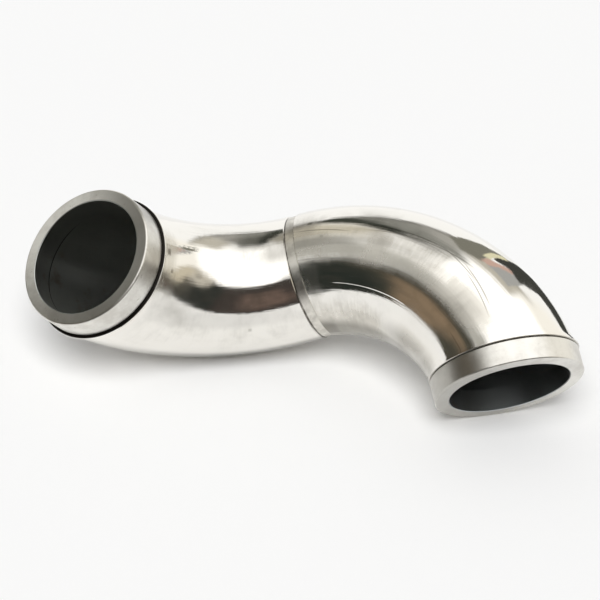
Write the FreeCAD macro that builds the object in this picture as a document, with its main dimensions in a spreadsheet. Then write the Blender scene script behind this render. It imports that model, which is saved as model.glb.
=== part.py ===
# Welded tube bend: two heavy-walled reducing elbows in planes about a quarter turn apart, their
# small ends butted to a narrow ring, with a turned collar welded on each open end. The bend lies
# on the floor as it comes to rest, on the left elbow's belly and the right collar's lower edge.
# Millimetres and degrees; +Z is up, the floor is z = 0, and the origin is under the middle.
import FreeCAD, Part
import math
import os
import Sketcher
from FreeCAD import Placement, Rotation, Vector

SIDES = ("left", "right")
X, Y, Z = Vector(1, 0, 0), Vector(0, 1, 0), Vector(0, 0, 1)
FLAT = 0.02         # how near a circle an edge lies to be taken for it
MESH = 0.02         # how near the surface the points lie that find the resting pose
SETTLE_STEPS = 12

doc = FreeCAD.newDocument("tube_bend")

# Driving dimensions
SIZES = [
    ("bend_radius", 76.2, "centreline radius of both elbows"),
    ("left_sweep_angle", 70.9, "the left elbow's arc"),
    ("right_sweep_angle", 74.1, "the right elbow's arc"),
    ("left_ring_mitre_angle", 3.0, "how far the left elbow leaves the ring off square"),
    ("right_ring_mitre_angle", 5.0, "how far the right elbow leaves the ring off square"),
    ("left_collar_mitre_angle", 7.3, "how far the left collar is turned past the end of its arc"),
    ("right_collar_mitre_angle", 9.6, "how far the right collar is turned past the end of its arc"),
    ("twist_angle", 99.4, "between the planes of the two bends, about the ring's axis"),
    ("lean_angle", 28.1, "how far the left bend leans forward of upright as it lies"),
    ("small_bore", 44.7, "inside of the elbows and the ring where they meet"),
    ("small_wall", 3.9, "wall of the elbows at the ring"),
    ("mouth_bore", 49.0, "inside of the collars, and of the elbows where they meet"),
    ("mouth_wall", 5.4, "wall of the elbows at the collars"),
    ("middle_waist", 0.55, "how far the outside halfway round is below the mean of its ends"),
    ("small_end_chamfer", 0.3, "chamfer of the elbows' outer edges at the ring"),
    ("lip_rise", 0.9, "how far the upset lip's crest stands above an elbow's large end"),
    ("lip_land", 0.6, "width of the lip's crest"),
    ("lip_chamfer", 0.25, "chamfer of the crest's front edge"),
    ("flare_length", 4.5, "length over which the tube flares out to its lip"),
    ("flare_sink", 1.15, "how far below the tube's own surface the flare starts"),
    ("groove_depth", 1.9, "depth of the weld groove between a lip and its collar"),
    ("groove_width", 0.5, "width of the weld groove on the elbow's side"),
    ("ring_width", 4.0, "length of the ring between the elbows"),
    ("ring_step", 0.5, "how far the ring lies below the elbows on the outside"),
    ("left_collar_length", 10.9, "length of the left collar"),
    ("right_collar_length", 9.4, "length of the right collar"),
    ("left_collar_drop", 0.35, "how far the left collar lies below the elbow's large end"),
    ("right_collar_rise", 0.5, "how far the right collar stands above the elbow's large end"),
    ("collar_round", 0.8, "rounding of a collar's outer front edge"),
    ("collar_chamfer", 0.3, "chamfer of a collar's outer back edge"),
    ("mouth_chamfer", 0.2, "chamfer of a collar's bore at the mouth"),
    ("small_diameter", "=small_bore + 2 * small_wall", "outside of the elbows at the ring"),
    ("large_diameter", "=mouth_bore + 2 * mouth_wall", "outside of the elbows at the collars"),
    ("middle_diameter", "=(small_diameter + large_diameter) / 2 - middle_waist", "halfway round"),
    ("lip_diameter", "=large_diameter + 2 * lip_rise", "crest of the upset lip"),
    ("flare_foot_diameter", "=large_diameter - 2 * flare_sink", "where the flare starts"),
    ("left_collar_diameter", "=large_diameter - 2 * left_collar_drop", "well inside its lip"),
    ("right_collar_diameter", "=large_diameter + 2 * right_collar_rise", "nearly flush with its lip"),
]
# Places along an elbow's centreline, in its own XZ plane. It starts at the origin, leaves along
# +Z turned towards +X by its ring mitre, and bends to +X.
for side in SIDES:
    start = f"{side}_ring_mitre_angle"
    SIZES += [
        (f"{side}_half_turn", f"={start} + {side}_sweep_angle / 2", "direction halfway round"),
        (f"{side}_turn", f"={start} + {side}_sweep_angle", "direction at the end of the arc"),
        (f"{side}_facing", f"={side}_turn + {side}_collar_mitre_angle", "direction of the collar"),
        (f"{side}_half_x", f"=bend_radius * (cos({start}) - cos({side}_half_turn))", "halfway"),
        (f"{side}_half_z", f"=bend_radius * (sin({side}_half_turn) - sin({start}))", "halfway"),
        (f"{side}_end_x", f"=bend_radius * (cos({start}) - cos({side}_turn))", "collar's back"),
        (f"{side}_end_z", f"=bend_radius * (sin({side}_turn) - sin({start}))", "collar's back"),
    ]
sheet = doc.addObject("Spreadsheet::Sheet", "Sizes")
for row, (alias, value, note) in enumerate(SIZES, start=1):
    sheet.set(f"A{row}", alias)
    sheet.set(f"B{row}", str(value))
    sheet.set(f"C{row}", note)
    sheet.setAlias(f"B{row}", alias)
doc.recompute()


def size(alias):
    return float(getattr(sheet, alias))


# Sketches
def new_sketch(body, name, role, shift=None, turn=None, axis=Z):
    """A sketch on one of the body's origin planes. shift maps offsets to formulas, and turn is a
    formula for the turn about the axis."""
    sketch = body.newObject("Sketcher::SketchObject", name)
    plane = next(f for f in body.Origin.OriginFeatures if f.Role == role)
    sketch.AttachmentSupport = (plane, [""])
    sketch.MapMode = "FlatFace"
    sketch.AttachmentOffset = Placement(Vector(), Rotation(axis, 1.0 if turn else 0.0))
    for direction, formula in (shift or {}).items():
        sketch.setExpression(f"AttachmentOffset.Base.{direction}", formula)
    if turn:
        sketch.setExpression("AttachmentOffset.Rotation.Angle", turn)
    return sketch


def dimension(sketch, formula, kind, *where):
    """Adds one dimension to a sketch and binds it to a formula."""
    number = sketch.addConstraint(Sketcher.Constraint(kind, *where, 1.0))
    sketch.setExpression(f"Constraints[{number}]", formula)


def circle_across(body, name, diameter, side, place=None):
    """A circle across an elbow's centreline, at its start or at a named place along it."""
    if place:
        turn = {"half": f"Sizes.{side}_half_turn", "end": f"Sizes.{side}_facing"}[place]
        shift = {"x": f"Sizes.{side}_{place}_x", "z": f"Sizes.{side}_{place}_z"}
        sketch = new_sketch(body, name, "XY_Plane", shift, turn, Y)
    else:
        sketch = new_sketch(body, name, "XY_Plane")
    sketch.addGeometry(Part.Circle(Vector(), Z, size(diameter) / 2), False)
    sketch.addConstraint(Sketcher.Constraint("Coincident", 0, 3, -1, 1))
    dimension(sketch, f"Sizes.{diameter} / 2", "Radius", 0)
    return sketch


def centreline(body, side):
    turn = f"-Sizes.{side}_ring_mitre_angle"
    sketch = new_sketch(body, f"{side}_centreline", "XZ_Plane", None, turn)
    radius, sweep = size("bend_radius"), math.radians(size(f"{side}_sweep_angle"))
    circle = Part.Circle(X * radius, Z, radius)
    sketch.addGeometry(Part.ArcOfCircle(circle, math.pi - sweep, math.pi), False)
    sketch.addConstraint(Sketcher.Constraint("Coincident", 0, 2, -1, 1))
    sketch.addConstraint(Sketcher.Constraint("PointOnObject", 0, 3, -1))
    dimension(sketch, "Sizes.bend_radius", "Radius", 0)
    dimension(sketch, f"Sizes.{side}_sweep_angle * 1 deg", "Angle", 0)
    return sketch


def outline(sketch, corners):
    """A closed outline in a half section. Each corner is its distance from the axis and its height
    along it, as formulas in the sheet's names."""
    places = [(sheet.evalExpression(out), sheet.evalExpression(along)) for out, along in corners]
    count = len(corners)
    for number, (out, along) in enumerate(places):
        after = Vector(*places[(number + 1) % count], 0)
        sketch.addGeometry(Part.LineSegment(Vector(out, along, 0), after), False)
    for number, (out, along) in enumerate(corners):
        sketch.addConstraint(Sketcher.Constraint("Coincident", number, 2, (number + 1) % count, 1))
        dimension(sketch, f"Sizes.{out}", "DistanceX", -1, 1, number, 1)
        if along == "0":
            sketch.addConstraint(Sketcher.Constraint("PointOnObject", number, 1, -1))
        else:
            dimension(sketch, f"Sizes.{along}", "DistanceY", -1, 1, number, 1)


# Solid features
def sweep(body, kind, name, path, sections):
    pipe = body.newObject(f"PartDesign::{kind}", name)
    pipe.Profile = sections[0]
    pipe.Spine = (path, ["Edge1"])
    pipe.Sections = sections[1:]
    pipe.Transformation = "Multisection"


def revolve(body, name, sketch):
    feature = body.newObject("PartDesign::Revolution", name)
    feature.Profile = sketch
    feature.ReferenceAxis = (sketch, ["V_Axis"])
    feature.Angle = 360
    doc.recompute()


def dress_rim(body, kind, name, radius, centre, *aliases):
    """Rounds the circular edge of this radius and centre, or chamfers it: first size along the
    axis, second across the end face."""
    base = body.Tip
    chosen = []
    for number, edge in enumerate(base.Shape.Edges, start=1):
        middle = (edge.FirstParameter + edge.LastParameter) / 2
        reach = [edge.valueAt(edge.FirstParameter).distanceToPoint(centre),
                 edge.valueAt(middle).distanceToPoint(centre)]
        off = max(abs(length - radius) for length in reach)
        if edge.CenterOfMass.distanceToPoint(centre) < FLAT and off < FLAT:
            chosen.append(f"Edge{number}")
    if len(chosen) != 1:
        raise RuntimeError(f"{name}: {len(chosen)} edges of radius {radius} found")
    feature = body.newObject(f"PartDesign::{kind}", name)
    feature.Base = (base, chosen)
    if kind == "Chamfer":
        feature.ChamferType = "Two distances"
    for prop, alias in zip(("Size", "Size2") if kind == "Chamfer" else ("Radius",), aliases):
        feature.setExpression(prop, f"Sizes.{alias}")
    doc.recompute()


# Pieces, each in its own frame: an elbow starts at the origin, a ring or collar lies along +Z
def make_elbow(side):
    """A tapering outside swept round the arc, its lip, and a passage that widens outward."""
    body = doc.addObject("PartDesign::Body", f"{side}_elbow")
    path = centreline(body, side)
    sweep(body, "AdditivePipe", f"{side}_tube", path, [
        circle_across(body, f"{side}_small_end", "small_diameter", side),
        circle_across(body, f"{side}_halfway", "middle_diameter", side, "half"),
        circle_across(body, f"{side}_large_end", "large_diameter", side, "end"),
    ])
    shift = {"x": f"Sizes.{side}_end_x", "y": f"Sizes.{side}_end_z"}
    lip = new_sketch(body, f"{side}_lip_section", "XZ_Plane", shift, f"-Sizes.{side}_facing")
    outline(lip, [
        ("mouth_bore / 2", "0"),
        ("lip_diameter / 2", "0"),
        ("lip_diameter / 2", "groove_width * -1 - Sizes.lip_land"),
        ("flare_foot_diameter / 2", "flare_length * -1"),
        ("mouth_bore / 2", "flare_length * -1"),
    ])
    revolve(body, f"{side}_lip", lip)
    sweep(body, "SubtractivePipe", f"{side}_passage", path, [
        circle_across(body, f"{side}_small_bore", "small_bore", side),
        circle_across(body, f"{side}_large_bore", "mouth_bore", side, "end"),
    ])
    doc.recompute()
    end = spot(Y, size(f"{side}_facing"), Vector(size(f"{side}_end_x"), 0, size(f"{side}_end_z")))
    crest_radius = size("lip_diameter") / 2
    dress_rim(body, "Chamfer", f"{side}_weld_groove", crest_radius, end.Base,
              "groove_width", "groove_depth")
    crest = end.multVec(Z * -size("groove_width"))
    dress_rim(body, "Chamfer", f"{side}_crest", crest_radius, crest, "lip_chamfer", "lip_chamfer")
    dress_rim(body, "Chamfer", f"{side}_small_rim", size("small_diameter") / 2, Vector(),
              "small_end_chamfer", "small_end_chamfer")
    return body, end


def make_ring():
    body = doc.addObject("PartDesign::Body", "middle_ring")
    section = new_sketch(body, "ring_section", "XZ_Plane")
    outline(section, [
        ("small_bore / 2", "ring_width / -2"),
        ("small_diameter / 2 - Sizes.ring_step", "ring_width / -2"),
        ("small_diameter / 2 - Sizes.ring_step", "ring_width / 2"),
        ("small_bore / 2", "ring_width / 2"),
    ])
    revolve(body, "ring_band", section)
    return body


def make_collar(side):
    body = doc.addObject("PartDesign::Body", f"{side}_collar")
    section = new_sketch(body, f"{side}_collar_section", "XZ_Plane")
    outline(section, [
        ("mouth_bore / 2", "0"),
        (f"{side}_collar_diameter / 2", "0"),
        (f"{side}_collar_diameter / 2", f"{side}_collar_length"),
        ("mouth_bore / 2", f"{side}_collar_length"),
    ])
    revolve(body, f"{side}_collar_band", section)
    front = Z * size(f"{side}_collar_length")
    outer = size(f"{side}_collar_diameter") / 2
    bore = size("mouth_bore") / 2
    dress_rim(body, "Fillet", f"{side}_front_rim", outer, front, "collar_round")
    dress_rim(body, "Chamfer", f"{side}_back_rim", outer, Vector(), "collar_chamfer", "collar_chamfer")
    dress_rim(body, "Chamfer", f"{side}_mouth", bore, front, "mouth_chamfer", "mouth_chamfer")
    return body


def spot(axis, angle, base=Vector()):
    return Placement(base, Rotation(axis, angle))


# Assembly about the ring's centre, with the ring's axis along X. Each half bends upward, and is
# then turned about the ring's axis: the left one by the lean, the right one by the twist more.
ring = make_ring()
half_ring = size("ring_width") / 2
starts = {
    "left": spot(X, size("lean_angle"), X * -half_ring) * spot(Y, -90),
    "right": (spot(X, size("lean_angle") + size("twist_angle"), X * half_ring)
              * spot(Z, 180) * spot(Y, -90)),
}
halves = {}
for side in SIDES:
    elbow, end = make_elbow(side)
    halves[side] = [(elbow, starts[side]), (make_collar(side), starts[side] * end)]
pieces = [(ring, spot(Y, 90))] + halves["left"] + halves["right"]


def surface_points(half):
    return [place.multVec(point) for body, place in half
            for point in body.Tip.Shape.tessellate(MESH)[0]]


# Rest: a tilt about Y lays the lowest point of each half on the floor
skins = {side: surface_points(halves[side]) for side in SIDES}
tilt = 0.0
for _ in range(SETTLE_STEPS):
    turn = Rotation(Y, tilt)
    left, right = (min((turn.multVec(point) for point in skins[side]), key=lambda point: point.z)
                   for side in SIDES)
    tilt += math.degrees(math.atan2(right.z - left.z, right.x - left.x))
turn = Rotation(Y, tilt)
skin = [turn.multVec(point) for side in SIDES for point in skins[side]]
low = Vector(*(min(point[axis] for point in skin) for axis in range(3)))
high = Vector(*(max(point[axis] for point in skin) for axis in range(3)))
rest = Placement(Vector(-(low.x + high.x) / 2, -(low.y + high.y) / 2, -low.z), turn)
for body, place in pieces:
    body.Placement = rest * place
doc.recompute()

# Checks, then one file for each piece
for thing in doc.Objects:
    if {"Invalid", "Error"} & set(thing.State):
        raise RuntimeError(f"{thing.Label} did not compute: {thing.State}")
os.makedirs("parts", exist_ok=True)
for body, place in pieces:
    shape = body.Shape
    if shape.isNull() or not shape.isValid() or len(shape.Solids) != 1:
        raise RuntimeError(f"{body.Label} is not one valid solid")
    print(f"{body.Label}: {shape.Volume:.0f} cubic mm")
for body, place in pieces:
    body.Shape.exportStep(f"parts/{body.Label}.step")
extent = high - low
print(f"tilt {tilt:.2f} degrees, {extent.x:.1f} x {extent.y:.1f} x {extent.z:.1f} mm")
print("ring centre", [round(value, 2) for value in rest.Base])
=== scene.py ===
# %% [markdown]
# Welded tube bend. Two heavy-walled reducing elbows of polished stainless steel meet at a narrow
# ring, and each carries a turned collar. All five solids come from the CAD model, so this file
# makes no shapes for them. It gives them their finishes, lays them on a pale table and lights them
# the way a small studio does.

# %% Load the CAD model
import math
import bpy
from mathutils import Matrix, Vector


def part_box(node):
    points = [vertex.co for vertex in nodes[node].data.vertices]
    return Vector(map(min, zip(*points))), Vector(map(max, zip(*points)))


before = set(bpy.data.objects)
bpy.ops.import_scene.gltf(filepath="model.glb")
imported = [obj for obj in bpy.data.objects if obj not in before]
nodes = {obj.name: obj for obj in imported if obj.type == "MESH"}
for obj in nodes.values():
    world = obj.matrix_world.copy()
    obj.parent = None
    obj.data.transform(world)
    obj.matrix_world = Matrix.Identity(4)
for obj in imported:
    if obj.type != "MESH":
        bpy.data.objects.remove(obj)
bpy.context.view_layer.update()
print("CAD nodes:", ", ".join(sorted(nodes)))

# %% [markdown]
# The camera stands a little above and in front, as a photographer looks at a part on a table. It
# could be turned by hand or aimed at an empty, but its place and its three axes are known, so they
# are written out and become its matrix. The lens is long, so the bend shows little perspective.

# %% Camera
CAMERA_PLACE = Vector((0.02008, -0.8182, 0.59105))
CAMERA_RIGHT = Vector((0.99707, 0.05914, 0.04846))
CAMERA_UP = Vector((-0.07325, 0.55693, 0.82732))
CAMERA_LENS = 146.27
SENSOR = 36.0

scene = bpy.context.scene
camera_data = bpy.data.cameras.new("camera")
camera_data.sensor_fit = "HORIZONTAL"
camera_data.sensor_width = SENSOR
camera_data.lens = CAMERA_LENS
camera = bpy.data.objects.new("camera", camera_data)
scene.collection.objects.link(camera)
back = CAMERA_RIGHT.cross(CAMERA_UP).normalized()
up = back.cross(CAMERA_RIGHT).normalized()
right = up.cross(back)
turn = Matrix((right, up, back)).transposed().to_4x4()
camera.matrix_world = Matrix.Translation(CAMERA_PLACE) @ turn
scene.camera = camera
scene.view_settings.view_transform = "Standard"
print("camera", round(CAMERA_PLACE.length, 3), "m from the middle of the floor")

# %% [markdown]
# Every finish is a small network of nodes. It could be drawn by hand in the shader editor, but a
# script can be read, measured and repeated. These helpers add a node, set its inputs by value or by
# link, and return the socket that the next node needs, so that a network reads like a formula.

# %% Node helpers
def add(tree, kind, inputs=None, **settings):
    """A node with its inputs set: a socket is linked, anything else is a value."""
    node = tree.nodes.new(kind)
    for name, value in settings.items():
        setattr(node, name, value)
    for key, value in (inputs or {}).items():
        if isinstance(value, bpy.types.NodeSocket):
            tree.links.new(value, node.inputs[key])
        else:
            node.inputs[key].default_value = value
    return node


def maths(tree, operation, *values):
    """A Math node on up to three values, each a number or a socket."""
    node = add(tree, "ShaderNodeMath", dict(enumerate(values)), operation=operation)
    return node.outputs[0]


def blend(tree, share, first, second, kind="RGBA"):
    """A colour or a vector between two, by share."""
    node = add(tree, "ShaderNodeMix", data_type=kind)
    sockets = {"Factor": share, "A": first, "B": second}
    for socket in node.inputs:
        if socket.name in sockets and socket.enabled:
            value = sockets[socket.name]
            if isinstance(value, bpy.types.NodeSocket):
                tree.links.new(value, socket)
            else:
                socket.default_value = value if socket.name == "Factor" else (*value, 1.0)
    return next(socket for socket in node.outputs if socket.enabled)


def noise(tree, vector, scale, detail=3.0, roughness=0.5, distortion=0.0):
    """A cloudy texture between 0 and 1."""
    wiring = {"Vector": vector, "Scale": scale, "Detail": detail, "Roughness": roughness,
              "Distortion": distortion}
    return add(tree, "ShaderNodeTexNoise", wiring).outputs[0]


print("helpers:", ", ".join(helper.__name__ for helper in (add, maths, blend, noise)))

# %% [markdown]
# A mark on metal begins and ends softly. A colour ramp could do that, but a Map Range node takes
# its limits as plain numbers, so every soft edge below is one of these four.

# %% Soft edges
def step(tree, value, low, high, bottom=0.0, top=1.0):
    """A soft step from bottom to top while value goes from low to high."""
    wiring = {"Value": value, "From Min": low, "From Max": high, "To Min": bottom, "To Max": top}
    node = add(tree, "ShaderNodeMapRange", wiring, interpolation_type="SMOOTHSTEP")
    return node.outputs["Result"]


def below(tree, value, limit, soft):
    """1 below a limit, 0 above it, with a soft edge."""
    return step(tree, value, limit - soft, limit + soft, 1.0, 0.0)


def band(tree, value, low, high, soft):
    """1 between low and high, 0 outside, with soft edges."""
    rise = step(tree, value, low - soft, low + soft)
    return maths(tree, "MULTIPLY", rise, below(tree, value, high, soft))


def greatest(tree, values):
    """The greatest of several values, so that marks which overlap don't add up."""
    most, *others = values
    for value in others:
        most = maths(tree, "MAXIMUM", most, value)
    return most


print("soft edges:", ", ".join(helper.__name__ for helper in (step, below, band, greatest)))

# %% [markdown]
# The table is plain and pale, and its white comes from its own colour rather than from more light.
# Only its middle shows in the metal: a studio table ends, and past its edge polished steel mirrors
# the dark room. So the floor is two sheets of one paint. The wide one lies a hair lower and stays
# out of every mirror.

# %% Table
MM = 0.001
FLOOR_WHITE = (0.97, 0.97, 0.965)
TABLE_LOW = (-0.42, -0.195)
TABLE_HIGH = (0.55, 0.62)
SURROUND = 4.0
SURROUND_DROP = 0.4 * MM

floor_paint = bpy.data.materials.new("table_top")
floor_paint.use_nodes = True
shader = floor_paint.node_tree.nodes["Principled BSDF"]
shader.inputs["Base Color"].default_value = (*FLOOR_WHITE, 1.0)
shader.inputs["Roughness"].default_value = 1.0
shader.inputs["Specular IOR Level"].default_value = 0.0


def flat_sheet(name, low, high, height):
    """A level rectangle between two corners."""
    (left, front), (right, behind) = low, high
    corners = [(left, front), (right, front), (right, behind), (left, behind)]
    mesh = bpy.data.meshes.new(name)
    mesh.from_pydata([(x, y, height) for x, y in corners], [], [(0, 1, 2, 3)])
    mesh.materials.append(floor_paint)
    sheet = bpy.data.objects.new(name, mesh)
    scene.collection.objects.link(sheet)
    return sheet


flat_sheet("table", TABLE_LOW, TABLE_HIGH, 0.0)
surround = flat_sheet("surround", (-SURROUND, -SURROUND), (SURROUND, SURROUND), -SURROUND_DROP)
surround.visible_glossy = False
width, depth = (round(high - low, 3) for low, high in zip(TABLE_LOW, TABLE_HIGH))
print("table", width, "by", depth, "m")

# %% [markdown]
# Polished metal is mostly a picture of its room. Real walls and furniture could be modelled round
# the table, but only their tones and places matter, so they are soft patches in the sky. Each has
# its azimuth and half width, its lowest and highest elevation, how soft its edges are, and its
# colour. Azimuth 0 is behind the bend and 90 on its right. Everything is in degrees.

# %% Parts of the room
ROOM = (0.055, 0.050, 0.042)
CEILING_WHITE = (1.45, 1.44, 1.42)
CEILING_EDGE = 36
CEILING_SOFT = 4
ROOM_PARTS = [
    ("back wall above the paper", -10, 18, 31, 66, 6, (0.27, 0.27, 0.245)),
    ("pale end of the back wall", 8, 10, 30, 54, 6, (0.42, 0.41, 0.38)),
    ("lit end of the back wall", 27, 13, 28, 57, 6, (0.56, 0.53, 0.46)),
    ("dark curtain", -27, 7, 31, 64, 4, (0.05, 0.055, 0.045)),
    ("cream wall", -50, 16, 33, 58, 6, (0.62, 0.58, 0.48)),
    ("grey wall on the left", -92, 27, 39, 58, 6, (0.44, 0.435, 0.40)),
    ("shelf on the left", -95, 34, -10, 40, 3, (0.072, 0.068, 0.052)),
    ("tan door", -111, 9, -5, 27, 5, (0.26, 0.19, 0.125)),
    ("black curtain on the left", -143, 19, -16, 38, 6, (0.022, 0.028, 0.024)),
    ("front of the room", 168, 34, -12, 33, 5, (0.06, 0.05, 0.045)),
    ("brown chest in front", 169, 15, -2, 22, 6, (0.175, 0.122, 0.10)),
    ("shelf on the right", 104, 14, -8, 19, 5, (0.10, 0.095, 0.08)),
    ("black curtain on the right", 126, 13, -8, 33, 5, (0.035, 0.038, 0.034)),
    ("lamp stand on the right", 104, 18, 23, 41, 6, (0.62, 0.58, 0.50)),
]
# The white paper and the screens stand nearer than all of that, and nothing clouds them.
SCREENS = [
    ("white paper", 9, 39, -45, 30, 3, (1.06, 1.06, 1.05)),
    ("white screen on the right", 63, 24, -14, 43, 6, (1.05, 1.02, 0.95)),
    ("cream edge of the screen", 91, 8, 4, 34, 6, (0.62, 0.56, 0.44)),
]
print("parts of the room:", len(ROOM_PARTS), "and screens:", len(SCREENS))

# %% [markdown]
# The parts are laid over one another in the order of the lists, starting from a dark room under a
# white ceiling. An uneven darkness lies over the walls, so that no tone is quite flat. It could be
# a photograph of a room, but a few patches keep each tone where the metal needs it.

# %% Room
# A texture's look is its scale, its detail and its roughness, and for some its distortion.
CLOUD_LOOK = (6.0, 4.0, 0.6)
CLOUD_RANGE = (0.35, 0.7)
CLOUD_STRENGTH = 0.45

world = bpy.data.worlds.new("studio")
scene.world = world
world.use_nodes = True
world.cycles.sampling_method = "NONE"
sky = world.node_tree
sky.nodes.clear()

look = add(sky, "ShaderNodeTexCoord").outputs["Generated"]
heading = add(sky, "ShaderNodeSeparateXYZ", {0: look}).outputs
elevation = maths(sky, "ARCSINE", heading["Z"])
azimuth = maths(sky, "ARCTAN2", heading["X"], heading["Y"])


def room_part(middle, *sizes):
    """1 inside a patch of the room, 0 outside. All its numbers are in degrees."""
    half_width, low, high, soft = (math.radians(size) for size in sizes)
    turned = maths(sky, "SUBTRACT", azimuth, math.radians(middle))
    aside = maths(sky, "ABSOLUTE", maths(sky, "WRAP", turned, math.pi, -math.pi))
    tall = band(sky, elevation, low, high, soft)
    return maths(sky, "MULTIPLY", below(sky, aside, half_width, soft), tall)


def furnish(colour, parts):
    """The room's colour with each part laid over it in turn."""
    for name, *place, paint in parts:
        colour = blend(sky, room_part(*place), colour, paint)
    return colour


ceiling_edge = math.radians(CEILING_EDGE)
ceiling_soft = math.radians(CEILING_SOFT)
ceiling = step(sky, elevation, ceiling_edge - ceiling_soft, ceiling_edge + ceiling_soft)
room = furnish(blend(sky, ceiling, ROOM, CEILING_WHITE), ROOM_PARTS)
cloud = step(sky, noise(sky, look, *CLOUD_LOOK), *CLOUD_RANGE)
cloud = maths(sky, "MULTIPLY", cloud, maths(sky, "SUBTRACT", 1.0, ceiling))
room = blend(sky, maths(sky, "MULTIPLY", cloud, CLOUD_STRENGTH), room, ROOM)
room = furnish(room, SCREENS)
print("nodes that paint the room:", len(sky.nodes))

# %% [markdown]
# Only the metal should see that room. It could be painted on a dome that the camera misses, but a
# Light Path node tells what kind of ray asks, so one world can answer each: the camera gets plain
# white behind the table, mirrors get the room, and matt things get even light from all round, which
# fills the shadows.

# %% What each ray sees
WHITE = (1.0, 1.0, 1.0, 1.0)
AMBIENT = 0.34

path = add(sky, "ShaderNodeLightPath").outputs
plain = add(sky, "ShaderNodeBackground", {"Color": WHITE, "Strength": 1.0}).outputs[0]
even = add(sky, "ShaderNodeBackground", {"Color": WHITE, "Strength": AMBIENT}).outputs[0]
studio = add(sky, "ShaderNodeBackground", {"Color": room, "Strength": 1.0}).outputs[0]
seen = maths(sky, "MAXIMUM", path["Is Camera Ray"], path["Is Transmission Ray"])
mixed = add(sky, "ShaderNodeMixShader", {0: path["Is Glossy Ray"], 1: even, 2: studio}).outputs[0]
mixed = add(sky, "ShaderNodeMixShader", {0: seen, 1: mixed, 2: plain}).outputs[0]
add(sky, "ShaderNodeOutputWorld", {"Surface": mixed})
print("world nodes:", len(sky.nodes))

# %% [markdown]
# One broad soft light comes from high in front, so the shadows lie close behind and under the
# bend. It could be an area lamp, but a sun lights the whole table evenly, and its width in the sky
# softens the shadows' edges. The metal doesn't mirror the lamp itself, since the white ceiling of
# the room stands for it.

# %% Lamp
LAMP_PLACE = Vector((-0.05, -1.05, 1.40))
# Its width in the sky, in degrees.
LAMP_WIDTH = 32
LAMP_STRENGTH = 2.51

lamp_data = bpy.data.lights.new("broad_light", "SUN")
lamp_data.angle = math.radians(LAMP_WIDTH)
lamp_data.energy = LAMP_STRENGTH
lamp = bpy.data.objects.new("broad_light", lamp_data)
scene.collection.objects.link(lamp)
aim = (-LAMP_PLACE).to_track_quat("-Z", "Y")
lamp.matrix_world = Matrix.Translation(LAMP_PLACE) @ aim.to_matrix().to_4x4()
lamp.visible_glossy = False
lamp_light = LAMP_STRENGTH * LAMP_PLACE.normalized().z / math.pi
print("light on the table:", round(lamp_light, 3), "from the lamp and", AMBIENT, "from all round")

# %% [markdown]
# Olive, yellow and pink glints lie along the outer edge of the right bend. They could be painted on
# it, but a glint belongs to the room and moves with the eye, so plain coloured cards stand behind
# the right mouth for the metal to mirror. A white one beside the left mouth gives its face a soft
# gradient. The cards glow at the brightness that they have in the mirror and light nothing else.

# %% Cards round the bend
CARD_DISTANCE = 110.0
# The cards behind the right mouth: name, how far behind the first one, colour, and the corners
# across and up, in millimetres.
CARDS = [
    ("grey_card", 4, (0.42, 0.42, 0.41), [(120, 205), (140, 118), (166, 122), (170, 160), (165, 240)]),
    ("olive_card", 3, (0.22, 0.215, 0.18), [(72, 146), (118, 55), (114, 205), (78, 205)]),
    ("dark_card", 2, (0.055, 0.056, 0.05), [(118, 62), (112, 2), (200, 2), (205, 50), (166, 66),
                                            (162, 130), (140, 112), (121, 126)]),
    ("pink_card", 1, (0.62, 0.43, 0.36), [(110, 196), (117, 148), (140, 110), (146, 120), (122, 194)]),
    ("yellow_card", 0, (0.80, 0.76, 0.53), [(110, 146), (114, 64), (120, 64), (119, 144)]),
]
LEFT_CARD = [(-178, 72, 63), (-149, 63, 124), (-170, -2, 124), (-199, 8, 63)]
LEFT_CARD_COLOUR = (0.74, 0.74, 0.71)


def stand_card(name, colour, corners):
    """A glowing card through corners in millimetres, which only mirrors show."""
    paint = bpy.data.materials.new(name)
    paint.use_nodes = True
    paint.node_tree.nodes.clear()
    glow = add(paint.node_tree, "ShaderNodeEmission", {"Color": (*colour, 1.0)}).outputs[0]
    add(paint.node_tree, "ShaderNodeOutputMaterial", {"Surface": glow})
    mesh = bpy.data.meshes.new(name)
    mesh.from_pydata([Vector(corner) * MM for corner in corners], [], [list(range(len(corners)))])
    mesh.materials.append(paint)
    card = bpy.data.objects.new(name, mesh)
    scene.collection.objects.link(card)
    card.visible_camera = False
    card.visible_diffuse = False
    card.visible_shadow = False


for name, behind, colour, corners in CARDS:
    stand_card(name, colour, [(x, CARD_DISTANCE + behind, z) for x, z in corners])
stand_card("white_card", LEFT_CARD_COLOUR, LEFT_CARD)
print("cards:", ", ".join(card[0] for card in CARDS), "and white_card")

# %% [markdown]
# The finishes follow each piece's own axes: polishing marks run along a bend and turning marks
# round a collar. Empties could mark those axes, but the finishes may name no other object. These
# few sizes of the real part rebuild them as matrices in the CAD model's frame.

# %% Frames of the pieces
BEND_RADIUS = 76.2 * MM
HALF_RING = 2.0 * MM
RING_CENTRE = Vector((2.34, 24.10, 34.58)) * MM
# How the ring's axis tilts, how the left bend leans round it, and how far round the right one is.
TILT, LEAN, TWIST = -25.01, 28.1, 99.4
# Each bend in degrees: the cut beside the ring, its sweep, and how far the collar turns beyond it.
BENDS = {"left": {"mitre": 3.0, "sweep": 70.9, "collar": 7.3},
         "right": {"mitre": 5.0, "sweep": 74.1, "collar": 9.6}}


def spin(axis, angle):
    """A turn round one axis by degrees."""
    return Matrix.Rotation(math.radians(angle), 4, axis)


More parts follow.
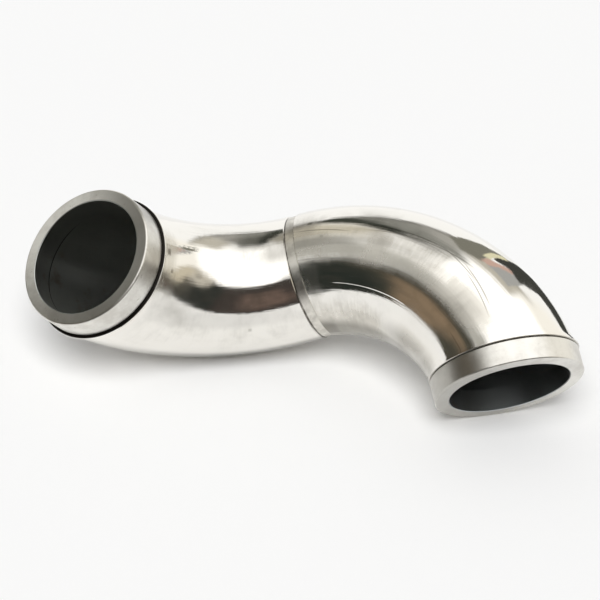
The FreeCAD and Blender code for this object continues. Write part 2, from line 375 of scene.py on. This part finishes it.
rest = Matrix.Translation(RING_CENTRE) @ spin("Y", TILT)
start = {
    "left": rest @ Matrix.Translation((-HALF_RING, 0, 0)) @ spin("X", LEAN) @ spin("Y", -90),
    "right": (rest @ Matrix.Translation((HALF_RING, 0, 0)) @ spin("X", LEAN + TWIST)
              @ spin("Z", 180) @ spin("Y", -90)),
}
arc_frames = {}
collar_frames = {}
for side, bend in BENDS.items():
    first = math.radians(bend["mitre"])
    last = math.radians(bend["mitre"] + bend["sweep"])
    centre = Vector((math.cos(first), 0, -math.sin(first))) * BEND_RADIUS
    end = Vector((math.cos(first) - math.cos(last), 0, math.sin(last) - math.sin(first))) * BEND_RADIUS
    facing = bend["mitre"] + bend["sweep"] + bend["collar"]
    arc_frames[side] = start[side] @ Matrix.Translation(centre)
    collar_frames[side] = start[side] @ Matrix.Translation(end) @ spin("Y", facing)
    low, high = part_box(f"{side}_collar")
    middle = (Vector(low) + Vector(high)) / 2
    off = collar_frames[side].inverted() @ middle
    print(side, "collar's middle in its own frame, mm", [round(v / MM, 2) for v in off])

# %% [markdown]
# Marks need to know where they are on a piece. Generated coordinates would stretch with its box, so
# a Mapping node turns Object coordinates into the piece's own frame instead. They are in metres and
# stay on the piece wherever it is taken.

# %% Place on a piece
def own_place(tree, matrix):
    """Object coordinates turned into a piece's own frame, whole and as separate X, Y and Z."""
    inverse = matrix.inverted()
    place = add(tree, "ShaderNodeTexCoord").outputs["Object"]
    wiring = {"Vector": place, "Location": inverse.translation, "Rotation": inverse.to_euler("XYZ")}
    mapped = add(tree, "ShaderNodeMapping", wiring, vector_type="POINT").outputs[0]
    return mapped, add(tree, "ShaderNodeSeparateXYZ", {0: mapped}).outputs


def combine(tree, x, y, z):
    """A vector from its three parts."""
    return add(tree, "ShaderNodeCombineXYZ", {0: x, 1: y, 2: z}).outputs[0]


def length(tree, first, second):
    """The length of the long side over two sides that meet at a right angle."""
    squares = [maths(tree, "MULTIPLY", value, value) for value in (first, second)]
    return maths(tree, "SQRT", maths(tree, "ADD", *squares))


print("own frames:", len(arc_frames), "bends,", len(collar_frames), "collars and the ring")

# %% [markdown]
# A finish starts as plain metal, and ends when its colour, its roughness and its relief are linked.
# It could be put on the mesh, but it goes on the object's slots, which leaves the CAD mesh as it is.

# %% Start and end of a finish
def new_finish(name):
    """A material of plain metal, and its tree."""
    material = bpy.data.materials.new(name)
    material.use_nodes = True
    tree = material.node_tree
    tree.nodes["Principled BSDF"].inputs["Metallic"].default_value = 1.0
    return material, tree


def bump(tree, height, distance, normal=None, strength=1.0):
    """The normal of a relief laid over another normal. Distance is how high a height of 1 stands."""
    wiring = {"Strength": strength, "Distance": distance, "Height": height}
    if normal is not None:
        wiring["Normal"] = normal
    return add(tree, "ShaderNodeBump", wiring).outputs[0]


def dress(node, material, inputs):
    """Links the mixed inputs to the shader and puts the material on every slot of a CAD node."""
    tree = material.node_tree
    for name, socket in inputs.items():
        tree.links.new(socket, tree.nodes["Principled BSDF"].inputs[name])
    piece = nodes[node]
    if not piece.material_slots:
        piece.data.materials.append(material)
    for slot in piece.material_slots:
        slot.link = "OBJECT"
        slot.material = material
    print(node, "wears", material.name, "with", len(tree.nodes), "nodes")


print("finishes wait for", ", ".join(sorted(nodes)))

# %% [markdown]
# Polishing follows the bend, so its marks need two angles: how far along the bend a point lies, and
# where round the tube. Unwrapped coordinates could give both, but the CAD mesh has none, so they
# are worked out from the place. The angle round the tube is kept as two shares, outward and
# sideways, which have no seam.

# %% Place on a bend
# A patch of marks fades out between these shares of its half width.
FADE = (0.4, 1.2)


def bend_place(tree, side):
    """The place in the bend's frame, then the angle along it with the two shares that go round the
    tube, then the distance from the centreline."""
    mapped, place = own_place(tree, arc_frames[side])
    along = maths(tree, "ARCTAN2", place["Z"], maths(tree, "MULTIPLY", place["X"], -1.0))
    out = maths(tree, "SUBTRACT", length(tree, place["X"], place["Z"]), BEND_RADIUS)
    away = length(tree, out, place["Y"])
    outward = maths(tree, "DIVIDE", out, away)
    sideways = maths(tree, "DIVIDE", place["Y"], away)
    return mapped, (along, outward, sideways), away


def fading(tree, distance, half, strength=1.0):
    """A patch's strength at some distance from its middle."""
    return step(tree, distance, half * FADE[0], half * FADE[1], strength, 0.0)


def patch(tree, where, place):
    """1 in a soft patch of the bend's skin, 0 outside. The patch is an angle along the bend and its
    half width, and an angle round the tube and its half width, in degrees."""
    along, outward, sideways = where
    middle, half, round_middle, round_half = (math.radians(angle) for angle in place)
    shift = maths(tree, "ABSOLUTE", maths(tree, "SUBTRACT", along, middle))
    near = maths(tree, "ADD", maths(tree, "MULTIPLY", outward, math.cos(round_middle)),
                 maths(tree, "MULTIPLY", sideways, math.sin(round_middle)))
    turned = maths(tree, "ARCCOSINE", maths(tree, "MINIMUM", near, 1.0))
    return maths(tree, "MULTIPLY", fading(tree, shift, half), fading(tree, turned, round_half))


for side, bend in BENDS.items():
    print(side, "bend runs from", bend["mitre"], "to", bend["mitre"] + bend["sweep"], "degrees")

# %% [markdown]
# Nobody polishes a tube's inside. A matt film covers the passage, with a little rust in it, and it is
# painted darker towards the top as painted shade, where less light reaches in. The inside could be a
# slot of its own, but the solid is one piece with one slot, so its finish changes where the passage begins.

# %% Dull passage
# On each side: the film's colours low and high in the passage, the high one darker as painted shade, and
# the two heights.
PASSAGE = {"left": ((0.64, 0.655, 0.63), (0.32, 0.325, 0.305), 32 * MM, 60 * MM),
           "right": ((0.52, 0.55, 0.56), (0.20, 0.205, 0.20), 6 * MM, 26 * MM)}
PASSAGE_ROUGHNESS = 0.35
RUST = (0.36, 0.25, 0.18)
RUST_LOOK = (95.0, 4.0, 0.65)
RUST_RANGE = (0.55, 0.80)
RUST_STRENGTH = 0.5


def passage_film_and_shade(tree, side, mapped):
    """The passage's matt coat by its height above the table, darker higher up as painted shade, with spots
    of rust.
    """
    place = add(tree, "ShaderNodeTexCoord").outputs["Object"]
    height = add(tree, "ShaderNodeSeparateXYZ", {0: place}).outputs["Z"]
    low_colour, high_colour, low, high = PASSAGE[side]
    # Darker higher up in the passage: painted shade over the matt coat.
    film_and_shade = blend(tree, step(tree, height, low, high), low_colour, high_colour)
    spots = step(tree, noise(tree, mapped, *RUST_LOOK), *RUST_RANGE, 0.0, RUST_STRENGTH)
    return blend(tree, spots, film_and_shade, RUST)


for side, (*_, low, high) in PASSAGE.items():
    print(side, "passage darkens from", low, "to", high, "m above the table")

# %% [markdown]
# The elbows are polished almost to a mirror by hand, on a belt and a wheel. That leaves cloudy
# patches where the wheel hardly reached, smears of old compound, a few pits and some scratches.
# They could be painted on, but a table can be read and changed, so each one below places a kind of
# mark on the two bends: an angle along the bend and its half width, an angle round the tube and its
# half width, all in degrees, and a strength.

# %% Where the polish varies
# Patches that were only brushed. Here the last number is how rough they are.
BRUSHED = {
    "left": [(66, 10, -165, 40, 0.26), (40, 40, -100, 30, 0.14), (30, 26, 165, 30, 0.13)],
    "right": [(6, 9, -120, 90, 0.26), (22, 24, -165, 40, 0.32), (24, 24, -86, 20, 0.34),
              (60, 18, -160, 34, 0.26), (58, 26, -87, 17, 0.38), (44, 12, -70, 14, 0.30)],
}
# Patches with smears of grime.
SMEARED = {
    "left": [(32, 40, -118, 34, 0.30), (60, 10, -138, 24, 0.35), (14, 18, 172, 20, 0.40)],
    "right": [(18, 24, -150, 45, 0.42), (46, 30, 176, 34, 0.55), (22, 26, -66, 26, 0.34),
              (56, 16, -96, 16, 0.40), (42, 16, -74, 16, 0.45), (30, 12, -66, 8, 0.30)],
}
# Stretches painted darker as painted shade, mostly underneath, where the metal mirrors the table in the
# bend's shadow.
SHADED_STRETCHES = {
    "left": [(24, 38, -65, 17, 0.86), (14, 20, 168, 10, 0.60), (7, 9, -182, 14, 0.50),
             (36, 30, -122, 9, 0.20)],
    "right": [(30, 70, -173, 19, 0.68), (60, 24, -160, 22, 0.50), (8, 10, -171, 15, 0.92),
              (38, 15, -71, 13, 0.50), (13, 12, -80, 5, 0.42)],
}
# Small pits. The last one on the right is a smudge beside the ring.
PITS = {
    "left": [(64.5, 1.3, -172.8, 3.2, 0.9), (62.0, 0.9, -158.0, 2.0, 0.6), (24.0, 0.8, -111.0, 2.0, 0.4)],
    "right": [(9.0, 0.9, -58.0, 2.4, 0.7), (13.0, 0.7, -75.0, 2.0, 0.5), (11.6, 1.2, -165.0, 3.0, 0.5),
              (6.5, 5.0, -173.0, 10.0, 0.75)],
}
# Patches that are scored by many fine scratches.
SCORED = {
    "left": [(40, 10, 150, 20, 0.25)],
    "right": [(62, 10, -66, 12, 0.5), (74, 8, -110, 20, 0.5)],
}
for table, name in ((BRUSHED, "brushed"), (SMEARED, "smeared"), (SHADED_STRETCHES, "painted_shade"), (PITS, "pitted"),
                    (SCORED, "scored")):
    print(name, "patches:", sum(len(places) for places in table.values()))

# %% [markdown]
# The marks inside those patches are mixed from a few textures. Image maps could hold them, but
# noise has no pixels and no seam. Most are stretched along or round the bend, as a belt or a wheel
# leaves them, and one is cloudy, as a hand leaves it.

# %% Textures of the polish
# How fine each stretched texture is along the bend and round the tube, and its detail.
TEXTURES = {"lines": (1.5, 14.0, 5.0), "smears": (9.0, 3.5, 5.0), "grain": (70.0, 3.0, 3.0),
            "scratches": (1.2, 45.0, 2.0)}
STRETCHED_ROUGHNESS = 0.6
CLOUDS_LOOK = (50.0, 3.0, 0.5, 0.4)


def stretched(tree, where, along_scale, round_scale, detail):
    """Noise on the bend's skin, finer or coarser along it than round it."""
    scales = (along_scale, round_scale, round_scale)
    parts = [maths(tree, "MULTIPLY", value, scale) for value, scale in zip(where, scales)]
    return noise(tree, combine(tree, *parts), 1.0, detail, STRETCHED_ROUGHNESS)


def skin_textures(tree, mapped, where):
    """Every texture of a bend's skin, by name."""
    textures = {name: stretched(tree, where, *fineness) for name, fineness in TEXTURES.items()}
    textures["clouds"] = noise(tree, mapped, *CLOUDS_LOOK)
    return textures


def weighted(tree, textures, weights):
    """The sum of some of the textures, each times its weight."""
    total = 0.0
    for name, weight in weights.items():
        total = maths(tree, "MULTIPLY_ADD", textures[name], weight, total)
    return total


def strongest(tree, places, where, texture):
    """The strongest of several patches, each times its strength and a texture."""
    shares = [0.0]
    for *place, strength in places:
        share = maths(tree, "MULTIPLY", patch(tree, where, place), strength)
        shares.append(maths(tree, "MULTIPLY", share, texture))
    return greatest(tree, shares)


print("textures:", ", ".join(TEXTURES), "and clouds")

# %% [markdown]
# A few marks are single lines along the right bend. A curve laid on the skin could be each one, but
# they are thinner than paper, so a line is only where the angle round the tube crosses a slanting
# value. One is raised, where two passes of the belt met, and the others are scratches.

# %% Single lines
# Where each line starts and ends along the bend, its place round the tube at both, all in degrees,
# and its width as a share of the tube's radius.
CREASES = {"left": [], "right": [(16, 46, -117, -118, 0.018)]}
CREASE_HEIGHT = 0.05 * MM
SCRATCHES = {"left": [],
             "right": [(48, 60, -60, -66, 0.014), (56, 68, -62, -70, 0.018), (58, 70, -67, -75, 0.014),
                       (24, 46, -62, -60, 0.014), (28, 56, -67, -59, 0.012), (6, 20, -66, -70, 0.016)]}
SCRATCH_STRENGTH = 0.8
LINE_END = 3


def single_line(tree, where, place):
    """1 on a thin line that runs along the bend, 0 beside it."""
    along, outward, sideways = where
    first, last, round_first, round_last, width = place
    runs = band(tree, along, math.radians(first), math.radians(last), math.radians(LINE_END))
    slant = (round_last - round_first) / (last - first)
    turn = maths(tree, "MULTIPLY_ADD", along, slant, math.radians(round_first - first * slant))
    off = maths(tree, "SUBTRACT", maths(tree, "MULTIPLY", sideways, maths(tree, "COSINE", turn)),
                maths(tree, "MULTIPLY", outward, maths(tree, "SINE", turn)))
    return maths(tree, "MULTIPLY", runs, step(tree, maths(tree, "ABSOLUTE", off), 0.0, width, 1.0, 0.0))


for side in BENDS:
    print(side, "bend has", len(CREASES[side]), "raised line and", len(SCRATCHES[side]), "scratches")

# %% [markdown]
# Roughness says how softly the metal mirrors. One value could stand for all of it, but the eye
# reads polish from where it fails: clouds that the wheel left, brushed patches, and fine lines that
# run through both.

# %% Roughness of the elbows
# The roughness at its best, and how much the clouds and the lines add.
POLISHED = 0.055
CLOUDED = 0.10
LINED = 0.08
# What the brushed patches are mixed from.
CLOTH = {"grain": 0.22, "clouds": 0.78}
# A range says between which values a texture comes to show and, where that isn't 0 and 1, what it
# gives at both.
CLOUDED_RANGE = (0.40, 0.72)
BRUSHED_RANGE = (0.30, 0.62, 0.5, 1.15)


def skin_roughness(tree, side, where, textures):
    """How rough the skin is: polished, clouded or only brushed, with fine lines in all of it."""
    haze = step(tree, textures["clouds"], *CLOUDED_RANGE)
    polished = maths(tree, "MULTIPLY_ADD", haze, CLOUDED, POLISHED)
    cloth = weighted(tree, textures, CLOTH)
    brushed = strongest(tree, BRUSHED[side], where, step(tree, cloth, *BRUSHED_RANGE))
    lines = maths(tree, "SUBTRACT", textures["lines"], 0.5)
    return maths(tree, "MULTIPLY_ADD", lines, LINED, greatest(tree, [polished, brushed]))


print("roughness where the wheel reached:", POLISHED, "to", round(POLISHED + CLOUDED, 3))

# %% [markdown]
# The colour of polished steel is what it mirrors, a little warmer and darker. Its base colour could
# be one grey, but haze, painted shade in stretches and grime take light away in places, so they are
# blended over the bright steel in that order.

# %% Colour of the elbows
STEEL = (0.88, 0.858, 0.81)
STEEL_HAZE = (0.72, 0.693, 0.632)
STEEL_SHADE = (0.22, 0.212, 0.19)
GRIME = (0.26, 0.245, 0.21)
# What the smears are mixed from.
SMEAR = {"smears": 0.45, "clouds": 0.45, "grain": 0.10}
HAZE_RANGE = (0.08, 0.32)
SHADE_RANGE = (0.20, 0.55, 0.75, 1.0)
SMEARED_RANGE = (0.42, 0.66)
SCORED_RANGE = (0.60, 0.70)


def skin_grime(tree, side, where, textures):
    """How much grime lies on the skin, in smears, pits and scratches."""
    smear = weighted(tree, textures, SMEAR)
    scores = step(tree, textures["scratches"], *SCORED_RANGE)
    marks = [strongest(tree, SMEARED[side], where, step(tree, smear, *SMEARED_RANGE)),
             strongest(tree, PITS[side], where, 1.0),
             strongest(tree, SCORED[side], where, scores)]
    for scratch in SCRATCHES[side]:
        marks.append(maths(tree, "MULTIPLY", single_line(tree, where, scratch), SCRATCH_STRENGTH))
    return greatest(tree, marks)


def skin_colour(tree, side, where, textures, roughness):
    """The steel of the skin: bright, hazy where it is rough, darker in stretches as painted shade, and
    grimy.
    """
    colour = blend(tree, step(tree, roughness, *HAZE_RANGE), STEEL, STEEL_HAZE)
    # Painted shade: darker stretches, mostly underneath, where the skin mirrors the shadowed table.
    painted_shade = strongest(tree, SHADED_STRETCHES[side], where, step(tree, textures["clouds"], *SHADE_RANGE))
    colour = blend(tree, painted_shade, colour, STEEL_SHADE)
    return blend(tree, skin_grime(tree, side, where, textures), colour, GRIME)


print("steel", STEEL, "with haze, dull stretches and grime")

# %% [markdown]
# A groove runs round behind each collar, and the left end keeps the lip that was raised for it. The
# right end was buffed over, so its polish runs on to the groove as if the tube went straight. The
# solid has a low flare there too, and a CAD mesh isn't reshaped here, so the finish gives the flare
# the plain tube's normal: outward from the centreline, leaning as the tube widens.

# %% Buffed end
BUFFED_SIDE = "right"
# Where the flare lies, from and to, along the collar's axis.
FLARE_PLACE = (-5.4 * MM, -0.6 * MM)
FLARE_SOFT = 0.15 * MM
# How much the tube's radius grows over one radian of the bend.
TAPER = 3.67 * MM


def buffed_normal(tree, side, mapped, where, share):
    """The normal of the plain tube where share is 1, and the piece's own normal elsewhere."""
    _, outward, sideways = where
    parts = add(tree, "ShaderNodeSeparateXYZ", {0: mapped}).outputs
    flat = length(tree, parts["X"], parts["Z"])
    x, z = (maths(tree, "DIVIDE", parts[axis], flat) for axis in "XZ")
    slope = maths(tree, "DIVIDE", TAPER, flat)
    tube_x = maths(tree, "SUBTRACT", maths(tree, "MULTIPLY", outward, x), maths(tree, "MULTIPLY", slope, z))
    tube_z = maths(tree, "ADD", maths(tree, "MULTIPLY", outward, z), maths(tree, "MULTIPLY", slope, x))
    turn = {"Vector": combine(tree, tube_x, sideways, tube_z),
            "Rotation": arc_frames[side].to_euler("XYZ")}
    tube = add(tree, "ShaderNodeMapping", turn, vector_type="VECTOR").outputs[0]
    own = add(tree, "ShaderNodeNewGeometry").outputs["Normal"]
    return blend(tree, share, own, tube, "VECTOR")


print("buffed over for", round((FLARE_PLACE[1] - FLARE_PLACE[0]) / MM, 2), "mm on the", BUFFED_SIDE)

# %% [markdown]
# Hand polishing leaves the surface slightly wavy, and that bends every reflection. Displacement
# could move the mesh, but the waves are much lower than its facets are wide, so they are bumps:
# broad dents first, then the raised line, then the fine lines of the belt.

# %% Relief of the elbows
DENTS_LOOK = (42.0, 1.0, 0.4)
DENT_HEIGHT = 0.45 * MM
LINE_HEIGHT = 0.05 * MM


def skin_relief(tree, side, mapped, where, skin, end_height, lines):
    """The skin's normal with everything that stands a little proud of it."""
    normal = None
    if side == BUFFED_SIDE:
        flare = maths(tree, "MULTIPLY", band(tree, end_height, *FLARE_PLACE, FLARE_SOFT), skin)
        normal = buffed_normal(tree, side, mapped, where, flare)
    normal = bump(tree, noise(tree, mapped, *DENTS_LOOK), DENT_HEIGHT, normal)
    for place in CREASES[side]:
        raised = maths(tree, "MULTIPLY", single_line(tree, where, place), skin)
        normal = bump(tree, raised, CREASE_HEIGHT, normal)
    return bump(tree, lines, LINE_HEIGHT, normal)


print("dents up to", round(DENT_HEIGHT / MM, 3), "mm and lines up to", round(LINE_HEIGHT / MM, 3), "mm")

# %% [markdown]
# Each elbow's finish puts those together. Distance from the centreline tells the skin from the
# passage, and distance along the collar's axis places the groove. Its colour is partly dark residue
# and partly painted shade in the groove: a dark line on the left and a pale one on the right.

# %% Polished elbows
PASSAGE_REACH = 25.1 * MM
EDGE_SOFT = 0.1 * MM
GROOVE_DIRT_AND_SHADE = {"left": (0.02, 0.018, 0.016), "right": (0.55, 0.53, 0.49)}
GROOVE_PLACE = (-0.6 * MM, 1.0 * MM)
GROOVE_ROUGHNESS = 0.4

for side in BENDS:
    finish, tree = new_finish(f"polished_steel_{side}")
    mapped, where, away = bend_place(tree, side)
    end_height = own_place(tree, collar_frames[side])[1]["Z"]
    inside = below(tree, away, PASSAGE_REACH, EDGE_SOFT)
    skin = maths(tree, "SUBTRACT", 1.0, inside)
    groove = maths(tree, "MULTIPLY", band(tree, end_height, *GROOVE_PLACE, EDGE_SOFT), skin)
    textures = skin_textures(tree, mapped, where)
    rough = skin_roughness(tree, side, where, textures)
    colour = skin_colour(tree, side, where, textures, rough)
    colour = blend(tree, inside, colour, passage_film_and_shade(tree, side, mapped))
    # The groove's colour is partly dark residue and partly painted shade.
    colour = blend(tree, groove, colour, GROOVE_DIRT_AND_SHADE[side])
    rough = greatest(tree, [rough, maths(tree, "MULTIPLY", inside, PASSAGE_ROUGHNESS),
                            maths(tree, "MULTIPLY", groove, GROOVE_ROUGHNESS)])
    normal = skin_relief(tree, side, mapped, where, skin, end_height, textures["lines"])
    dress(f"{side}_elbow", finish, {"Base Color": colour, "Roughness": rough, "Normal": normal})

# %% [markdown]
# The ring between the elbows is satin rather than polished. It was faced with an abrasive belt, so
# fine marks run round it, and its left edge, along the weld, is darker in patches. The Anisotropic
# input could stretch its highlights, but it needs a tangent that follows the ring, so a noise that is
# very fine across the ring roughens it instead.

# %% Satin ring
RING_STEEL = (0.74, 0.715, 0.655)
RING_DULL = (0.54, 0.52, 0.47)
RING_EDGE_DARK = (0.12, 0.11, 0.10)
RING_EDGE = 1.55 * MM
RING_EDGE_SOFT = 0.15 * MM
RING_CLOUDS_LOOK = (180.0, 3.0, 0.6)
RING_CLOUDS_RANGE = (0.4, 0.65)
DARK_EDGE_RANGE = (0.3, 0.6, 0.4, 1.0)
# How fine the marks are round the ring and across it, and the least and the added roughness.
RING_FINENESS = (1.5, 6000.0)
RING_MARKS_LOOK = (1.0, 3.0, 0.6)
RING_ROUGHNESS = (0.24, 0.16)

finish, tree = new_finish("satin_ring")
mapped, place = own_place(tree, rest @ spin("Y", 90))
around = maths(tree, "ARCTAN2", place["Y"], place["X"])
round_scale, across_scale = RING_FINENESS
marks = combine(tree, maths(tree, "MULTIPLY", around, round_scale),
                maths(tree, "MULTIPLY", place["Z"], across_scale), 0.0)
marks = noise(tree, marks, *RING_MARKS_LOOK)
clouds = noise(tree, mapped, *RING_CLOUDS_LOOK)
colour = blend(tree, step(tree, clouds, *RING_CLOUDS_RANGE), RING_STEEL, RING_DULL)
left_edge = below(tree, place["Z"], -RING_EDGE, RING_EDGE_SOFT)
dark_edge = maths(tree, "MULTIPLY", left_edge, step(tree, clouds, *DARK_EDGE_RANGE))
colour = blend(tree, dark_edge, colour, RING_EDGE_DARK)
least, added = RING_ROUGHNESS
rough = maths(tree, "MULTIPLY_ADD", marks, added, least)
dress("middle_ring", finish, {"Base Color": colour, "Roughness": rough})

# %% [markdown]
# The collars are turned on a lathe. The tool leaves fine circles on the end face and fine rings
# along the side, which soften every reflection across them. Real rings could be modelled, but there
# would be thousands, so one noise runs on from the face to the side: it is very fine in the sum of
# the distance out and the distance along. Handling has left specks, and a stretch of each collar's
# side and of its face is painted darker as painted shade.

# %% Colour of the collars
COLLAR_STEEL = (0.78, 0.765, 0.72)
COLLAR_DULL = (0.62, 0.60, 0.555)
COLLAR_SHADE = (0.36, 0.35, 0.32)
COLLAR_SPECKS = (0.34, 0.31, 0.27)
COLLAR_CLOUDS_LOOK = (90.0, 5.0, 0.65)
COLLAR_CLOUDS_RANGE = (0.38, 0.68)
SPECKS_LOOK = (420.0, 2.0, 0.5)
SPECKS_RANGE = (0.67, 0.77)
SPECKS_STRENGTH = {"left": 0.40, "right": 0.12}
COLLAR_SIDE = {"left": 29.55 * MM, "right": 30.4 * MM}
# How far inside a collar's side the face gives way to it, from and to.
FACE_END = (0.6 * MM, 0.2 * MM)
# Where a collar's side and its face are painted darker as painted shade: the middle and the half
# width of each stretch, round the collar in degrees, and its strength.
SHADED_SIDE = {"left": (24, 14, 0.7), "right": (-46, 40, 0.65)}
SHADED_FACE = {"left": (-26, 112, 0.70), "right": (0, 120, 0.70)}


def shade_stretch(tree, place, middle, half, strength):
    """Its strength over a stretch round a collar, 0 elsewhere."""
    turned = maths(tree, "SUBTRACT", maths(tree, "ARCTAN2", place["Y"], place["X"]), math.radians(middle))
    turned = maths(tree, "ABSOLUTE", maths(tree, "WRAP", turned, math.pi, -math.pi))
    return fading(tree, turned, math.radians(half), strength)


def collar_colour(tree, side, mapped, place, out):
    """The turned steel: cloudy, with specks, and painted shade over a stretch of the side and of the face.
    """
    clouds = noise(tree, mapped, *COLLAR_CLOUDS_LOOK)
    colour = blend(tree, step(tree, clouds, *COLLAR_CLOUDS_RANGE), COLLAR_STEEL, COLLAR_DULL)
    specks = step(tree, noise(tree, mapped, *SPECKS_LOOK), *SPECKS_RANGE, 0.0, SPECKS_STRENGTH[side])
    colour = blend(tree, specks, colour, COLLAR_SPECKS)
    on_side = step(tree, out, *(COLLAR_SIDE[side] - inset for inset in FACE_END))
    on_face = maths(tree, "SUBTRACT", 1.0, on_side)
    # Painted shade over a stretch of the collar's side and of its face.
    for zone, stretch in ((on_side, SHADED_SIDE[side]), (on_face, SHADED_FACE[side])):
        shaded = maths(tree, "MULTIPLY", shade_stretch(tree, place, *stretch), zone)
        colour = blend(tree, shaded, colour, COLLAR_SHADE)
    return colour


for side in BENDS:
    print(side, "collar is dull for", 2 * SHADED_SIDE[side][1], "degrees of its side")

# %% [markdown]
# Inside each mouth the joint to the elbow shows as a dark line, on the side that the weld didn't
# fill. A ring of dark metal could be laid in it, but the two pieces already meet there, so the line
# is a band in the collar's own finish, over the passage's film. It fades in across the mouth.

# %% Turned collars
COLLAR_BORE = 24.9 * MM
# The least and the added roughness.
COLLAR_ROUGHNESS = (0.27, 0.12)
# How fine the tool's marks are round a collar, and across it.
TURNED_FINENESS = (1.2, 5000.0)
TURNED_LOOK = (1.0, 2.0, 0.5)
TURNED_HEIGHT = 0.02 * MM
TURNED_STRENGTH = 0.3
SEAM = (0.06, 0.055, 0.05)
SEAM_PLACE = (0.7 * MM, 1.15 * MM)
SEAM_SOFT = 0.2 * MM
# Where the seam fades in, as a share across the collar.
SEAM_SIDE = {"left": (-0.2, -0.6), "right": (-0.8, -1.0)}

for side in BENDS:
    finish, tree = new_finish(f"turned_steel_{side}")
    mapped, place = own_place(tree, collar_frames[side])
    out = length(tree, place["X"], place["Y"])
    across_x, across_y = (maths(tree, "DIVIDE", place[axis], out) for axis in "XY")
    round_scale, across_scale = TURNED_FINENESS
    rings = combine(tree, maths(tree, "MULTIPLY", across_x, round_scale),
                    maths(tree, "MULTIPLY", across_y, round_scale),
                    maths(tree, "MULTIPLY", maths(tree, "ADD", out, place["Z"]), across_scale))
    marks = noise(tree, rings, *TURNED_LOOK)
    inside = below(tree, out, COLLAR_BORE, EDGE_SOFT)
    colour = collar_colour(tree, side, mapped, place, out)
    colour = blend(tree, inside, colour, passage_film_and_shade(tree, side, mapped))
    seam = maths(tree, "MULTIPLY", band(tree, place["Z"], *SEAM_PLACE, SEAM_SOFT), inside)
    seam = maths(tree, "MULTIPLY", seam, step(tree, across_x, *SEAM_SIDE[side]))
    colour = blend(tree, seam, colour, SEAM)
    least, added = COLLAR_ROUGHNESS
    rough = maths(tree, "MULTIPLY_ADD", marks, added, least)
    rough = greatest(tree, [rough, maths(tree, "MULTIPLY", inside, PASSAGE_ROUGHNESS)])
    normal = bump(tree, marks, TURNED_HEIGHT, strength=TURNED_STRENGTH)
    dress(f"{side}_collar", finish, {"Base Color": colour, "Roughness": rough, "Normal": normal})
